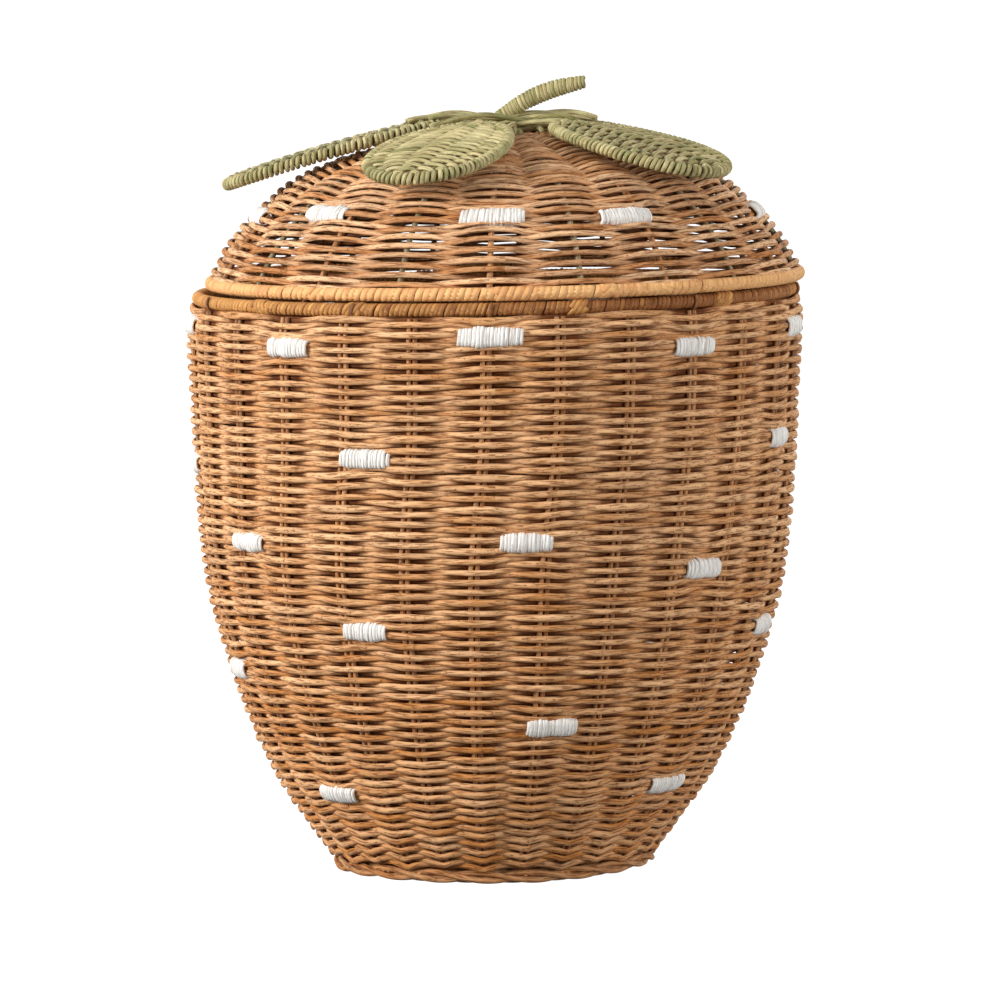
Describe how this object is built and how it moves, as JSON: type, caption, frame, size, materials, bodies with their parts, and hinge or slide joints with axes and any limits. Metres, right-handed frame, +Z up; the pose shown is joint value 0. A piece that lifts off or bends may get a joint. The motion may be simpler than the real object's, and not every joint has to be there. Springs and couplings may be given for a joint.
{
  "type": "lidded storage basket",
  "caption": "Round woven rattan storage basket shaped like a berry, with a lift-off domed lid, green leaves and stem, and white wound seeds.",
  "frame": {"origin": "middle of the foot, on the floor the basket stands on", "axes": "+Z up, -Y towards the front, +X to the right seen from the front"},
  "size_m": [0.3867, 0.3846, 0.4891],
  "materials": {
    "woven_rattan": "matt natural rattan",
    "rattan_stakes": "matt darker rattan",
    "rattan_peel": "satin honey peel",
    "green_rattan": "matt sage-green stained rattan",
    "white_cord": "matt white paper cord"
  },
  "bodies": {
    "basket": {"base_weave": "woven_rattan", "foot_border": "woven_rattan", "side_weave": "woven_rattan", "stake_cage": "rattan_stakes", "body_rim_hoop": "rattan_stakes", "body_rim_wrap": "rattan_peel", "body_seed_01": "white_cord", "body_seed_02": "white_cord", "body_seed_03": "white_cord", "body_seed_04": "white_cord", "body_seed_05": "white_cord", "body_seed_06": "white_cord", "body_seed_07": "white_cord", "body_seed_08": "white_cord", "body_seed_09": "white_cord", "body_seed_10": "white_cord", "body_seed_11": "white_cord", "body_seed_12": "white_cord", "body_seed_13": "white_cord", "body_seed_14": "white_cord", "body_seed_15": "white_cord", "body_seed_16": "white_cord", "body_seed_17": "white_cord", "body_seed_18": "white_cord", "body_seed_19": "white_cord", "body_seed_20": "white_cord", "body_seed_21": "white_cord", "body_seed_22": "white_cord", "body_seed_23": "white_cord", "body_seed_24": "white_cord", "body_seed_25": "white_cord", "body_seed_26": "white_cord", "body_seed_27": "white_cord"},
    "lid": {"lid_weave": "woven_rattan", "lid_ribs": "rattan_stakes", "lid_rim_hoop": "rattan_stakes", "lid_rim_wrap": "rattan_peel", "crown_patch": "green_rattan", "stem_cane": "green_rattan", "stem_wrap": "green_rattan", "leaf_frame_right": "green_rattan", "leaf_web_right": "green_rattan", "leaf_frame_front_left": "green_rattan", "leaf_web_front_left": "green_rattan", "leaf_frame_left": "green_rattan", "leaf_web_left": "green_rattan", "leaf_frame_back_left": "green_rattan", "leaf_web_back_left": "green_rattan", "leaf_frame_back_right": "green_rattan", "leaf_web_back_right": "green_rattan", "lid_seed_01": "white_cord", "lid_seed_02": "white_cord", "lid_seed_03": "white_cord", "lid_seed_04": "white_cord", "lid_seed_05": "white_cord", "lid_seed_06": "white_cord", "lid_seed_07": "white_cord", "lid_seed_08": "white_cord"}
  },
  "joints": [
    {"name": "lid_lift", "type": "slide", "parent": "basket", "child": "lid", "axis": [0, 0, 1], "range_m": [0, 0.3]}
  ]
}
